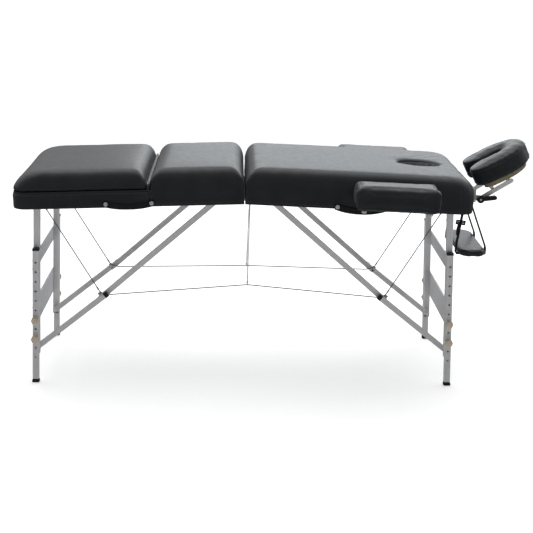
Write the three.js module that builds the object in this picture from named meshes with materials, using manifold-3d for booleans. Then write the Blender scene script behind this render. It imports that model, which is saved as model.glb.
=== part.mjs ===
// Portable massage table: two hinged halves on folding telescopic legs, with a lifting backrest,
// pull-out armrests, a tilting U headrest and a hanging arm shelf. Millimetres, +Z up,
// +X towards the head end, near long side at -Y. Built from the floor point under the centre fold;
// at the end everything moves so that the origin is under the middle of the whole object.
import * as THREE from 'three';
import { mergeVertices } from 'three/addons/utils/BufferGeometryUtils.js';
import Module from 'manifold-3d';

// ---------------------------------------------------------------- driving dimensions
const GAP = 0.3;                     // clearance between pieces that touch
const CURVE_STEPS = 6;               // segments in each quarter or half round

// table halves: s runs outwards from the fold line, h is height above the frame's lower edge
const HINGE_HEIGHT = 778;            // fold line above the floor
const TILT = THREE.MathUtils.degToRad(2.08);
const HALF_LENGTH = 933;
const HALF_WIDTH = 340;
const FOLD_GAP = 1.5;                // from the fold line to the first face of a half
const SKIRT = 4;                     // padded vinyl over the outside of the rails
const CORNER = 60;                   // plan radius at the two outer corners
const RAIL_HEIGHT = 60;
const RAIL = 20;
const DECK = 8;
const CUSHION_TOP = 142;
const BACKREST_START = 388;          // where the lifting backrest begins on the left half
const SECTION_GAP = 6;
// bevels that meet above the backrest's pivot
const EDGE_BEVEL = { middle: 60, backrest: 35, headEnd: 44, footEnd: 60, depth: 38 };   // top edges of the cushions

// face opening in the right cushion
const FACE_CENTRE = 740;
const FACE_LENGTH = 180;
const FACE_WIDTH = 130;

// legs: square tube, measured down the leg from its pivot
const LEG_PIVOT = { s: 838, h: 25 };
const AXLE_RADIUS = 7;
const FOOT_X = 864;
const TUBE = 25;
const UPPER_Y = 274.5;
const EXTENSION_Y = 300;
const UPPER_END = 649;
const EXTENSION_START = 199;
const FOOT_HEIGHT = 14;
const FOOT_SIZE = 30;
const HOLE_START = 253;
const HOLE_PITCH = 40.8;
const HOLE_COUNT = 11;
const HOLE_RADIUS = 4;
const KNOB_HOLES = [6, 8];
const KNOB_RADIUS = 17;
const KNOB_DEPTH = 22;
const PLATE = 5;
const UPPER_PLATE = { from: 245, to: 305 };
const LOWER_PLATE = { from: 439, to: 551 };

// folding struts in a vertical plane just inside each leg
const STRUT_HEIGHT = 22;
const STRUT_THICKNESS = 15;
const LOWER_STRUT_Y = 253;
const UPPER_STRUT_Y = 233;
const STRUT_FOOT = 635;              // down the leg
const ELBOW = { x: 594, z: 350 };
const STRUT_TOP = { s: 95, h: 12 };
const ELBOW_OVERHANG = 26;
const BOLT_RADIUS = 8;
const BOLT_HEAD = 4;

// cables and cord under the table
const CABLE_RADIUS = 1.8;
const CABLE_Y = 216;
const CABLE_TOP = { x: 822, z: 739 };
const CABLE_ELBOW = { x: 598, z: 367 };
const CABLE_LOW = { x: 566, z: 357 };
const CORD_X = 16;
const CABLE_CENTRE_Z = { near: 407, far: 369 };

// armrests on the right half
const ARM_FROM = 430;
const ARM_TO = 764;
const ARM_INNER = 352;
const ARM_OUTER = 498;
const ARM_LOW = 30;
const ARM_TOP = 124;
const ROD_RADIUS = 8;
const ROD_HEIGHT = 44;
const ARM_RODS = [467, 731];
const ARM_ROD_INNER = 243;

// headrest, along its own slope u and normal n from the tilt pivot
const HEAD_PIVOT = { x: 997, z: 760 };
const HEAD_SLOPE = THREE.MathUtils.degToRad(26.5);
const HEAD_POST_Y = 60;
const HEAD_WIDTH = 296;
const HEAD_SLOT = 62;

// arm shelf hung under the head end
const SHELF = { fromX: 904, toX: 1024, halfY: 200, corner: 58, lowZ: 532, thickness: 24 };
const SLING_INNER = { s: 927, h: -7 };     // webbing ends under the table and on its end face
const SLING_OUTER = { s: 936, h: 48 };
const SHELF_STRAP_Y = 120;
const STRAP_WIDTH = 30;
const STRAP_THICKNESS = 3;

const LEFT = -1;
const RIGHT = 1;
const ROWS = { near: -1, far: 1 };

// ---------------------------------------------------------------- shape and solid helpers
const wasm = await Module();
wasm.setup();

function toManifold(geometry) {
  const bare = geometry.clone();
  bare.deleteAttribute('normal');
  bare.deleteAttribute('uv');
  const merged = mergeVertices(bare.index ? bare.toNonIndexed() : bare, 1e-4);
  return new wasm.Manifold(new wasm.Mesh({
    numProp: 3,
    vertProperties: new Float32Array(merged.attributes.position.array),
    triVerts: new Uint32Array(merged.index.array),
  }));
}

function fromManifold(solid) {
  const mesh = solid.getMesh();
  const geometry = new THREE.BufferGeometry();
  geometry.setAttribute('position', new THREE.BufferAttribute(new Float32Array(mesh.vertProperties), 3));
  geometry.setIndex(new THREE.BufferAttribute(new Uint32Array(mesh.triVerts), 1));
  return geometry;
}

function join(pieces) {
  return fromManifold(pieces.map(toManifold).reduce((sum, piece) => sum.add(piece)));
}

function cut(piece, tools) {
  return fromManifold(tools.map(toManifold).reduce((rest, tool) => rest.subtract(tool), toManifold(piece)));
}

function box(x0, x1, y0, y1, z0, z1) {
  const geometry = new THREE.BoxGeometry(x1 - x0, y1 - y0, z1 - z0);
  return geometry.translate((x0 + x1) / 2, (y0 + y1) / 2, (z0 + z1) / 2);
}

// a plan outline raised from z0 to z1
function slab(shape, z0, z1) {
  const options = { depth: z1 - z0, bevelEnabled: false, curveSegments: CURVE_STEPS };
  return new THREE.ExtrudeGeometry(shape, options).translate(0, 0, z0);
}

// an outline in the upright XZ plane, swept across the table from y0 to y1
function upright(shape, y0, y1) {
  const options = { depth: y1 - y0, bevelEnabled: false, curveSegments: CURVE_STEPS };
  return new THREE.ExtrudeGeometry(shape, options).rotateX(Math.PI / 2).translate(0, y1, 0);
}

function rodAcross(x, z, radius, y0, y1) {
  const circle = new THREE.Shape().absarc(x, z, radius, 0, 2 * Math.PI);
  return upright(circle, y0, y1);
}

function rodBetween(from, to, radius, sides = 8) {
  const axis = new THREE.Vector3().subVectors(to, from);
  const rod = new THREE.CylinderGeometry(radius, radius, axis.length(), sides);
  const turn = new THREE.Quaternion().setFromUnitVectors(new THREE.Vector3(0, 1, 0), axis.clone().normalize());
  rod.applyQuaternion(turn);
  const middle = from.clone().addScaledVector(axis, 0.5);
  return rod.translate(middle.x, middle.y, middle.z);
}

// a rectangle whose corners at the outer end (+x) are rounded
function tongue(x0, x1, halfWidth, corner) {
  const shape = new THREE.Shape();
  shape.moveTo(x0, -halfWidth);
  shape.lineTo(x1 - corner, -halfWidth);
  shape.absarc(x1 - corner, -halfWidth + corner, corner, -Math.PI / 2, 0);
  shape.absarc(x1 - corner, halfWidth - corner, corner, 0, Math.PI / 2);
  shape.lineTo(x0, halfWidth);
  shape.closePath();
  return shape;
}

// a straight bar with round ends between two points of the XZ plane
function linkShape(a, b, height) {
  const angle = Math.atan2(b.z - a.z, b.x - a.x);
  const shape = new THREE.Shape();
  shape.absarc(a.x, a.z, height / 2, angle + Math.PI / 2, angle + 1.5 * Math.PI);
  shape.absarc(b.x, b.z, height / 2, angle - Math.PI / 2, angle + Math.PI / 2);
  shape.closePath();
  return shape;
}

// ---------------------------------------------------------------- placing pieces
// from a half's own (s, y, h) to the standing table
function onHalf(geometry, side) {
  geometry.rotateY(TILT).translate(0, 0, HINGE_HEIGHT);
  return side === LEFT ? geometry.rotateZ(Math.PI) : geometry;
}

function halfPoint(s, h) {
  return {
    x: s * Math.cos(TILT) + h * Math.sin(TILT),
    z: HINGE_HEIGHT - s * Math.sin(TILT) + h * Math.cos(TILT),
  };
}

const legTop = halfPoint(LEG_PIVOT.s, LEG_PIVOT.h);
const splay = Math.atan2(FOOT_X - legTop.x, legTop.z);

// from a leg's own frame (pivot at the origin, foot straight down) to the standing table
function onLeg(geometry, side) {
  geometry.rotateY(-splay).translate(legTop.x, 0, legTop.z);
  return side === LEFT ? geometry.rotateZ(Math.PI) : geometry;
}

function onSide(geometry, side) {
  return side === LEFT ? geometry.rotateZ(Math.PI) : geometry;
}

function legPoint(down) {
  return { x: legTop.x + down * Math.sin(splay), z: legTop.z - down * Math.cos(splay) };
}

const palette = {
  vinyl: 0x24282c, board: 0x6b5a3a, alloy: 0xb4b2ae, rubber: 0x161616, knob: 0x96897b,
  strap: 0x1b1b1d, steel: 0x8a8f94, cord: 0xb9b6cf, lever: 0x151515,
};
const table = new THREE.Group();
table.name = 'portable_massage_table';

function add(name, slot, geometry) {
  const material = new THREE.MeshStandardMaterial({ color: palette[slot], roughness: 0.6 });
  material.name = slot;
  const mesh = new THREE.Mesh(geometry, material);
  mesh.name = name;
  table.add(mesh);
}

// ---------------------------------------------------------------- halves: frames and decks
const railOuter = HALF_WIDTH - SKIRT - GAP;
const railEnd = HALF_LENGTH - SKIRT - GAP;
const armHoles = (y0, y1) => ARM_RODS.map((s) => rodAcross(s, ROD_HEIGHT, ROD_RADIUS + GAP, y0, y1));
const bothArmHoles = () => [...armHoles(-HALF_WIDTH - 1, -RAIL), ...armHoles(RAIL, HALF_WIDTH + 1)];
const headPostHoles = () => [-HEAD_POST_Y, HEAD_POST_Y].map((y) => rodBetween(
  new THREE.Vector3(HALF_LENGTH - 100, y, ROD_HEIGHT),
  new THREE.Vector3(HALF_LENGTH + 1, y, ROD_HEIGHT), ROD_RADIUS + GAP, 12));

function railRing() {
  const ring = tongue(FOLD_GAP, railEnd, railOuter, CORNER);
  const inner = tongue(FOLD_GAP + RAIL, railEnd - RAIL, railOuter - RAIL, CORNER - RAIL);
  ring.holes.push(new THREE.Path(inner.getPoints(CURVE_STEPS)));
  return slab(ring, 0, RAIL_HEIGHT);
}

function facePath(grow) {
  return new THREE.Path().absellipse(
    FACE_CENTRE, 0, FACE_LENGTH / 2 + grow, FACE_WIDTH / 2 + grow, 0, 2 * Math.PI, true);
}

function deckRight() {
  const outline = tongue(FOLD_GAP, railEnd, railOuter, CORNER);
  outline.holes.push(facePath(SKIRT));
  return slab(outline, RAIL_HEIGHT + GAP, RAIL_HEIGHT + DECK);
}

add('frame_right', 'board', onHalf(cut(railRing(), [...bothArmHoles(), ...headPostHoles()]), RIGHT));
add('frame_left', 'board', onHalf(railRing(), LEFT));
add('deck_right', 'board', onHalf(deckRight(), RIGHT));
add('deck_left', 'board', onHalf(
  box(FOLD_GAP, BACKREST_START - SECTION_GAP, -railOuter, railOuter, RAIL_HEIGHT + GAP, RAIL_HEIGHT + DECK), LEFT));

// ---------------------------------------------------------------- halves: upholstery
const padLow = RAIL_HEIGHT + DECK + GAP;

// vinyl hanging outside the rails from the fold to the outer end
function skirtRing(height) {
  const ring = tongue(FOLD_GAP, HALF_LENGTH, HALF_WIDTH, CORNER + SKIRT);
  const inner = tongue(FOLD_GAP - 1, HALF_LENGTH - SKIRT, HALF_WIDTH - SKIRT, CORNER);
  return cut(slab(ring, 0, height), [slab(inner, -1, height + 1)]);
}

function cushionRight() {
  const pad = tongue(FOLD_GAP, HALF_LENGTH, HALF_WIDTH, CORNER + SKIRT);
  pad.holes.push(facePath(0));
  const body = join([skirtRing(padLow + 1), slab(pad, padLow, CUSHION_TOP)]);
  const bevel = edgeBevel(HALF_LENGTH, -1, EDGE_BEVEL.headEnd);
  return cut(body, [bevel, ...bothArmHoles(), ...headPostHoles()]);
}

// a wedge that bevels a cushion's top edge at the end face s = face; grow is +1 or -1 along s
function edgeBevel(face, grow, width) {
  const wedge = new THREE.Shape();
  wedge.moveTo(face, CUSHION_TOP - EDGE_BEVEL.depth);
  wedge.lineTo(face + grow * (width + 1), CUSHION_TOP + 1);
  wedge.lineTo(face - grow, CUSHION_TOP + 1);
  wedge.lineTo(face - grow, CUSHION_TOP - EDGE_BEVEL.depth);
  return upright(wedge, -HALF_WIDTH - 1, HALF_WIDTH + 1);
}

function cushionMiddle() {
  const end = BACKREST_START - SECTION_GAP;
  const pad = box(FOLD_GAP, end, -HALF_WIDTH, HALF_WIDTH, padLow, CUSHION_TOP);
  const skirts = [-1, 1].map((row) => {
    const inner = row * (HALF_WIDTH - SKIRT);
    const outer = row * HALF_WIDTH;
    return box(FOLD_GAP, end, Math.min(inner, outer), Math.max(inner, outer), 0, padLow + 1);
  });
  return cut(join([pad, ...skirts]), [edgeBevel(end, -1, EDGE_BEVEL.middle)]);
}

// vinyl band round the rail under the backrest
function frameWrap() {
  const keep = box(-1, BACKREST_START, -HALF_WIDTH - 1, HALF_WIDTH + 1, -1, RAIL_HEIGHT + 1);
  return cut(skirtRing(RAIL_HEIGHT), [keep]);
}

function backrestPad() {
  const pad = slab(tongue(BACKREST_START, HALF_LENGTH, HALF_WIDTH, CORNER + SKIRT), padLow, CUSHION_TOP);
  return cut(pad, [
    edgeBevel(BACKREST_START, 1, EDGE_BEVEL.backrest), edgeBevel(HALF_LENGTH, -1, EDGE_BEVEL.footEnd)]);
}

add('cushion_right', 'vinyl', onHalf(cushionRight(), RIGHT));
add('cushion_middle', 'vinyl', onHalf(cushionMiddle(), LEFT));
add('frame_wrap_left', 'vinyl', onHalf(frameWrap(), LEFT));
add('back_board', 'board', onHalf(
  slab(tongue(BACKREST_START, railEnd, railOuter, CORNER), RAIL_HEIGHT + GAP, RAIL_HEIGHT + DECK), LEFT));
add('cushion_backrest', 'vinyl', onHalf(backrestPad(), LEFT));

// ---------------------------------------------------------------- halves: hinges and handles
const HINGE_KNUCKLE = 4;
const HINGE_LEAF = { length: 50, halfY: 240, thickness: 2.5 };

// one leaf of the long hinge under the fold: its knuckles fill every other quarter of the length,
// and the other leaf, turned end for end, fills the rest
function hingeLeaf(side) {
  const { length, halfY, thickness } = HINGE_LEAF;
  const own = [[-halfY, -halfY / 2], [0, halfY / 2]];
  const free = [[-halfY / 2, 0], [halfY / 2, halfY]];
  const leaf = box(0, length, -halfY, halfY, -GAP - thickness, -GAP);
  const knuckles = own.map(([y0, y1]) => rodAcross(0, -HINGE_KNUCKLE, HINGE_KNUCKLE - 1, y0 + GAP, y1 - GAP));
  const windows = free.map(([y0, y1]) => box(-1, HINGE_KNUCKLE + 2, y0 - GAP, y1 + GAP, -10, 10));
  return onHalf(cut(join([leaf, ...knuckles]), windows), side);
}

const HANDLE = { from: 372, to: 555, height: 24, thickness: 4 };

// webbing that droops between two screws on the table's side
function carryHandle(row, side, screwHeight, sag) {
  const middle = (HANDLE.from + HANDLE.to) / 2;
  const strap = new THREE.Shape();
  strap.moveTo(HANDLE.from - 12, screwHeight + HANDLE.height / 2);
  strap.quadraticCurveTo(middle, screwHeight + HANDLE.height / 2 - 2 * sag, HANDLE.to + 12,
    screwHeight + HANDLE.height / 2);
  strap.lineTo(HANDLE.to + 12, screwHeight - HANDLE.height / 2);
  strap.quadraticCurveTo(middle, screwHeight - HANDLE.height / 2 - 2 * sag, HANDLE.from - 12,
    screwHeight - HANDLE.height / 2);
  strap.closePath();
  const face = HALF_WIDTH + GAP;
  const y0 = row * side > 0 ? face : -face - HANDLE.thickness;
  return onHalf(upright(strap, y0, y0 + HANDLE.thickness), side);
}

add('hinge_leaf_right', 'steel', hingeLeaf(RIGHT));
add('hinge_leaf_left', 'steel', hingeLeaf(LEFT));
add('carry_handle_left', 'strap', carryHandle(ROWS.near, LEFT, 16, 14));
add('carry_handle_right', 'strap', carryHandle(ROWS.near, RIGHT, 8, 19));

// ---------------------------------------------------------------- legs
// the two upper tubes and their cross plates
function legFrame() {
  const half = TUBE / 2;
  const tubes = [-1, 1].map((row) => box(
    -half, half, row * UPPER_Y - half, row * UPPER_Y + half, -UPPER_END, half));
  const plates = [UPPER_PLATE, LOWER_PLATE].map((plate) => box(
    half - 1, half + PLATE, -UPPER_Y, UPPER_Y, -plate.to, -plate.from));
  const bore = rodAcross(0, 0, AXLE_RADIUS + GAP, -HALF_WIDTH, HALF_WIDTH);
  return cut(join([...tubes, ...plates]), [bore]);
}

// the pivot tube that a leg frame hangs on, from rail to rail
function legAxle() {
  const reach = railOuter - RAIL - GAP;
  return rodAcross(0, 0, AXLE_RADIUS, -reach, reach);
}

// the telescopic tube with its row of height holes
function extension(y) {
  const half = TUBE / 2;
  const foot = FOOT_HEIGHT + 1;
  const bar = new THREE.Shape();
  bar.moveTo(-half, -(legTop.z / Math.cos(splay) - foot));
  bar.lineTo(half, -(legTop.z / Math.cos(splay) - foot));
  bar.lineTo(half, -EXTENSION_START);
  bar.lineTo(-half, -EXTENSION_START);
  bar.closePath();
  for (let i = 0; i < HOLE_COUNT; i += 1) {
    bar.holes.push(new THREE.Path().absarc(0, -HOLE_START - i * HOLE_PITCH, HOLE_RADIUS, 0, 2 * Math.PI, true));
  }
  return upright(bar, y - half, y + half);
}

// a lobed clamp knob on the extension's outer face
function knob(y, down) {
  const face = EXTENSION_Y + TUBE / 2 + GAP;
  const outer = face + KNOB_DEPTH;
  const base = rodAcross(0, -down, KNOB_RADIUS * 0.6, face, face + KNOB_DEPTH / 2);
  const head = rodAcross(0, -down, KNOB_RADIUS, face + KNOB_DEPTH / 2 - 1, outer);
  const solid = join([base, head]);
  return y > 0 ? solid : solid.rotateZ(Math.PI);
}

function foot(y) {
  const half = FOOT_SIZE / 2;
  return box(FOOT_X - half, FOOT_X + half, y - half, y + half, 0, FOOT_HEIGHT);
}

for (const [sideName, side] of [['left', LEFT], ['right', RIGHT]]) {
  add(`leg_axle_${sideName}`, 'alloy', onLeg(legAxle(), side));
  add(`leg_frame_${sideName}`, 'alloy', onLeg(legFrame(), side));
  for (const [rowName, row] of Object.entries(ROWS)) {
    const name = `${sideName}_${rowName}`;
    const y = row * side * EXTENSION_Y;
    add(`leg_extension_${name}`, 'alloy', onLeg(extension(y), side));
    add(`foot_${name}`, 'rubber', onSide(foot(y), side));
    KNOB_HOLES.forEach((hole, i) => {
      add(`leg_knob_${name}_${i + 1}`, 'knob', onLeg(knob(y, HOLE_START + hole * HOLE_PITCH), side));
    });
  }
}

// ---------------------------------------------------------------- struts
const strutFoot = legPoint(STRUT_FOOT);
const strutTop = halfPoint(STRUT_TOP.s, STRUT_TOP.h);

function beyond(from, to, extra) {
  const length = Math.hypot(to.x - from.x, to.z - from.z);
  const scale = (length + extra) / length;
  return { x: from.x + (to.x - from.x) * scale, z: from.z + (to.z - from.z) * scale };
}

// a strut with a bolt head on its inner face at the given pivot
function strut(a, b, boltAt, y, row) {
  const half = STRUT_THICKNESS / 2;
  const bar = upright(linkShape(a, b, STRUT_HEIGHT), y - half, y + half);
  const inner = y - row * half;
  const head = row > 0
    ? rodAcross(boltAt.x, boltAt.z, BOLT_RADIUS, inner - BOLT_HEAD, inner + 1)
    : rodAcross(boltAt.x, boltAt.z, BOLT_RADIUS, inner - 1, inner + BOLT_HEAD);
  return join([bar, head]);
}

for (const [sideName, side] of [['left', LEFT], ['right', RIGHT]]) {
  for (const [rowName, row] of Object.entries(ROWS)) {
    const inward = row * side;
    const elbowEnd = beyond(strutFoot, ELBOW, ELBOW_OVERHANG);
    const lower = strut(strutFoot, elbowEnd, strutFoot, inward * LOWER_STRUT_Y, inward);
    const upper = strut(ELBOW, strutTop, ELBOW, inward * UPPER_STRUT_Y, inward);
    add(`lower_strut_${sideName}_${rowName}`, 'alloy', onSide(lower, side));
    add(`upper_strut_${sideName}_${rowName}`, 'alloy', onSide(upper, side));
  }
}

// ---------------------------------------------------------------- cables and cord
function polyline(points, radius) {
  const rods = points.slice(1).map((point, i) => rodBetween(points[i], point, radius, 6));
  const joints = points.slice(1, -1).map((point) => (
    new THREE.IcosahedronGeometry(radius * 1.4, 0).translate(point.x, point.y, point.z)));
  return join([...rods, ...joints]);
}

for (const [rowName, row] of Object.entries(ROWS)) {
  const y = row * CABLE_Y;
  const at = (sign, point) => new THREE.Vector3(sign * point.x, y, point.z);
  add(`cable_${rowName}`, 'steel', polyline([
    at(-1, CABLE_TOP), at(-1, CABLE_ELBOW), at(-1, CABLE_LOW),
    new THREE.Vector3(CORD_X, y, CABLE_CENTRE_Z[rowName]),
    at(1, CABLE_LOW), at(1, CABLE_ELBOW), at(1, CABLE_TOP)], CABLE_RADIUS));
}
const cordReach = CABLE_Y - 6;
add('centre_cord', 'cord', polyline([
  new THREE.Vector3(CORD_X + 6, -cordReach, CABLE_CENTRE_Z.near + 5),
  new THREE.Vector3(CORD_X + 14, 0, HINGE_HEIGHT - 10),
  new THREE.Vector3(CORD_X + 6, cordReach, CABLE_CENTRE_Z.far + 5)], CABLE_RADIUS));

// ---------------------------------------------------------------- armrests
const ARM_ROD_OUTER = 450;
const ARM_BAR = 14;
const ARM_KNOB = { radius: 10, height: 16 };

// from a span away from the table's middle to the same span on the near or far side
function outward(row, inner, outer) {
  return row < 0 ? [-outer, -inner] : [inner, outer];
}

// two guide rods joined by a bar at their outer ends; grow makes the matching socket
function armBracket(row, grow) {
  const [y0, y1] = outward(row, ARM_ROD_INNER - grow, ARM_ROD_OUTER + grow);
  const rods = ARM_RODS.map((s) => rodAcross(s, ROD_HEIGHT, ROD_RADIUS + grow, y0, y1));
  const [bar0, bar1] = outward(row, ARM_ROD_OUTER - ARM_BAR - grow, ARM_ROD_OUTER + grow);
  const half = ARM_BAR / 2 + grow;
  const bar = box(ARM_RODS[0], ARM_RODS[1], bar0, bar1, ROD_HEIGHT - half, ROD_HEIGHT + half);
  return join([...rods, bar]);
}

function armrestPad(row) {
  const [y0, y1] = outward(row, ARM_INNER, ARM_OUTER);
  return cut(box(ARM_FROM, ARM_TO, y0, y1, ARM_LOW, ARM_TOP), [armBracket(row, GAP)]);
}

function armKnob(row, s) {
  const knobSolid = new THREE.CylinderGeometry(ARM_KNOB.radius, ARM_KNOB.radius, ARM_KNOB.height, 12);
  return knobSolid.rotateX(Math.PI / 2).translate(s, row * ARM_ROD_OUTER, ARM_LOW - GAP - ARM_KNOB.height / 2);
}

for (const [rowName, row] of Object.entries(ROWS)) {
  add(`armrest_${rowName}`, 'vinyl', onHalf(armrestPad(row), RIGHT));
  add(`armrest_bracket_${rowName}`, 'alloy', onHalf(armBracket(row, 0), RIGHT));
  ARM_RODS.forEach((s, i) => {
    add(`armrest_knob_${rowName}_${i + 1}`, 'knob', onHalf(armKnob(row, s), RIGHT));
  });
}

// ---------------------------------------------------------------- headrest
const HEAD_BLOCK = { from: 962, to: 982, halfY: 78, low: 742, high: 794 };
const HEAD_BAR = { y: 88, thickness: 6, height: 18, length: 150 };
const HEAD_PLATFORM = { from: 40, to: 246, low: 34, thickness: 18, halfY: 120 };
const HEAD_CUSHION = { from: 6, to: 274, low: 53, high: 136 };
const HEAD_LEVER = { y: 96, thickness: 16, reach: 60, radius: 16, height: 17 };

// a U seen from above: the slot opens towards the table
function headOutline(from, to, halfWidth, slotHalf, slotEnd) {
  const end = to - halfWidth;
  const tip = (halfWidth - slotHalf) / 2;
  const shape = new THREE.Shape();
  shape.moveTo(from + tip, -halfWidth);
  shape.absarc(Math.max(end, from + tip), 0, halfWidth, -Math.PI / 2, Math.PI / 2);
  shape.absarc(from + tip, halfWidth - tip, tip, Math.PI / 2, 1.5 * Math.PI);
  shape.absarc(slotEnd - slotHalf, 0, slotHalf, Math.PI / 2, -Math.PI / 2, true);
  shape.absarc(from + tip, -halfWidth + tip, tip, Math.PI / 2, 1.5 * Math.PI);
  shape.closePath();
  return shape;
}

function onHeadrest(geometry) {
  return geometry.rotateY(-HEAD_SLOPE).translate(HEAD_PIVOT.x, 0, HEAD_PIVOT.z);
}

// two posts that slide in the table's end, with the block that carries the tilt pivot
function headrestBase() {
  const blockTop = halfPoint(HEAD_BLOCK.to, ROD_HEIGHT);
  const posts = [-HEAD_POST_Y, HEAD_POST_Y].map((y) => {
    const inner = halfPoint(HALF_LENGTH - 90, ROD_HEIGHT);
    return rodBetween(
      new THREE.Vector3(inner.x, y, inner.z), new THREE.Vector3(blockTop.x, y, blockTop.z), ROD_RADIUS, 12);
  });
  const block = box(
    HEAD_BLOCK.from, HEAD_BLOCK.to, -HEAD_BLOCK.halfY, HEAD_BLOCK.halfY, HEAD_BLOCK.low, HEAD_BLOCK.high);
  const ear = linkShape({ x: HEAD_BLOCK.from + 10, z: HEAD_PIVOT.z }, HEAD_PIVOT, 22);
  const ears = [-1, 1].map((row) => upright(ear, row * 74 - 4, row * 74 + 4));
  return join([...posts, block, ...ears]);
}

// side bars that tilt on the pivot, tied across under the platform
function headrestBracket() {
  const half = HEAD_BAR.thickness / 2;
  const bar = linkShape({ x: 0, z: 0 }, { x: HEAD_BAR.length, z: 14 }, HEAD_BAR.height);
  const bars = [-1, 1].map((row) => upright(bar, row * HEAD_BAR.y - half, row * HEAD_BAR.y + half));
  const ties = [60, 135].map((u) => box(u, u + 12, -HEAD_BAR.y, HEAD_BAR.y, 12, HEAD_PLATFORM.low - GAP));
  return onHeadrest(join([...bars, ...ties]));
}

function camLever() {
  const shape = linkShape({ x: 0, z: 0 }, { x: HEAD_LEVER.reach, z: 8 }, HEAD_LEVER.height);
  const lobe = new THREE.Shape().absarc(0, 0, HEAD_LEVER.radius, 0, 2 * Math.PI);
  const y1 = -HEAD_LEVER.y;
  const y0 = y1 - HEAD_LEVER.thickness;
  const lever = join([upright(shape, y0, y1), upright(lobe, y0, y1)]);
  return lever.translate(HEAD_PIVOT.x, 0, HEAD_PIVOT.z);
}

add('headrest_base', 'alloy', headrestBase());
add('headrest_bracket', 'alloy', headrestBracket());
add('headrest_platform', 'board', onHeadrest(slab(
  headOutline(HEAD_PLATFORM.from, HEAD_PLATFORM.to, HEAD_PLATFORM.halfY, HEAD_SLOT / 2 + 8, 160),
  HEAD_PLATFORM.low, HEAD_PLATFORM.low + HEAD_PLATFORM.thickness)));
add('headrest_cushion', 'vinyl', onHeadrest(slab(
  headOutline(HEAD_CUSHION.from, HEAD_CUSHION.to, HEAD_WIDTH / 2, HEAD_SLOT / 2, 172),
  HEAD_CUSHION.low, HEAD_CUSHION.high)));
add('headrest_cam_lever', 'lever', camLever());

// ---------------------------------------------------------------- arm shelf
function shelfBoard() {
  const { fromX, toX, halfY, corner } = SHELF;
  const shape = new THREE.Shape();
  shape.absarc(toX - corner, halfY - corner, corner, 0, Math.PI / 2);
  shape.absarc(fromX + corner, halfY - corner, corner, Math.PI / 2, Math.PI);
  shape.absarc(fromX + corner, -halfY + corner, corner, Math.PI, 1.5 * Math.PI);
  shape.absarc(toX - corner, -halfY + corner, corner, 1.5 * Math.PI, 2 * Math.PI);
  shape.closePath();
  return slab(shape, SHELF.lowZ, SHELF.lowZ + SHELF.thickness);
}

// a strip of even thickness along a bent line in the XZ plane
function ribbonShape(line, thickness) {
  const points = line.map((point) => new THREE.Vector2(point.x, point.z));
  const edge = (offset) => points.map((point, i) => {
    const before = points[Math.max(i - 1, 0)];
    const after = points[Math.min(i + 1, points.length - 1)];
    const normals = [[before, point], [point, after]]
      .filter(([from, to]) => from !== to)
      .map(([from, to]) => new THREE.Vector2(from.y - to.y, to.x - from.x).normalize());
    const mitre = normals.reduce((sum, normal) => sum.clone().add(normal)).normalize();
    return point.clone().addScaledVector(mitre, offset / mitre.dot(normals[0]));
  });
  return new THREE.Shape([...edge(thickness / 2), ...edge(-thickness / 2).reverse()]);
}

// webbing slung from under the table's end, beneath the shelf and up to the end face
function shelfSling(y) {
  const low = SHELF.lowZ - STRAP_THICKNESS;
  const high = SHELF.lowZ + SHELF.thickness + STRAP_THICKNESS;
  const edge = STRAP_THICKNESS / 2 + GAP;
  const line = [
    halfPoint(SLING_INNER.s, SLING_INNER.h), { x: SHELF.fromX - edge, z: high },
    { x: SHELF.fromX - edge, z: low }, { x: SHELF.toX + edge, z: low },
    { x: SHELF.toX + edge, z: high }, halfPoint(SLING_OUTER.s, SLING_OUTER.h)];
  return upright(ribbonShape(line, STRAP_THICKNESS), y - STRAP_WIDTH / 2, y + STRAP_WIDTH / 2);
}

add('arm_shelf', 'vinyl', shelfBoard());
for (const [rowName, row] of Object.entries(ROWS)) {
  add(`shelf_strap_${rowName}`, 'strap', shelfSling(row * SHELF_STRAP_Y));
}

// ---------------------------------------------------------------- origin
const whole = new THREE.Box3().setFromObject(table);
const middleX = (whole.min.x + whole.max.x) / 2;
for (const mesh of table.children) mesh.geometry.translate(-middleX, 0, 0);

export default table;
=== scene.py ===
"""Looks of the portable massage table: leatherette pads, satin aluminium legs and struts,
moulded knobs, steel cables, cord and webbing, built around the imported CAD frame. Metres, +Z up."""
import bpy
import bmesh
import math
import numpy as np
from mathutils import Matrix, Vector, noise
from mathutils.bvhtree import BVHTree


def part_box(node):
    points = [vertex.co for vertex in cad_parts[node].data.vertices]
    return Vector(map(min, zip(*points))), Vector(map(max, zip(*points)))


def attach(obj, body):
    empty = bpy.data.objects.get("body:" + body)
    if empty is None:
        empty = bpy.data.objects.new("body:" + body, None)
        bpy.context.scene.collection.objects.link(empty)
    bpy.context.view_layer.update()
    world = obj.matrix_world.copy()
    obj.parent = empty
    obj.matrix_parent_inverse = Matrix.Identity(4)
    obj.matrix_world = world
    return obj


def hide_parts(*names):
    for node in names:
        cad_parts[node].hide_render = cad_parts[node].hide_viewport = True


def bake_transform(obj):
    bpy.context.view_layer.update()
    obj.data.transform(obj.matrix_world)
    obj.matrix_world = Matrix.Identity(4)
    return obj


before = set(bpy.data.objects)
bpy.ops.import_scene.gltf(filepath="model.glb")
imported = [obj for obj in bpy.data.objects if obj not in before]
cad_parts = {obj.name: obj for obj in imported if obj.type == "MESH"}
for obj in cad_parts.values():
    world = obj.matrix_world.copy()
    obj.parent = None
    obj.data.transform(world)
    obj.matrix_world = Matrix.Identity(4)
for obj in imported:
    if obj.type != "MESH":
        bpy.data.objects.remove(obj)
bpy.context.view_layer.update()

# ---------- dimensions shared with the frame
TILT = math.radians(2.08)
HINGE_HEIGHT = 0.778
HALF_LENGTH = 0.933
HALF_WIDTH = 0.340
FOLD_FACE = -0.0006
FLAP_LOW = 0.060
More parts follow.
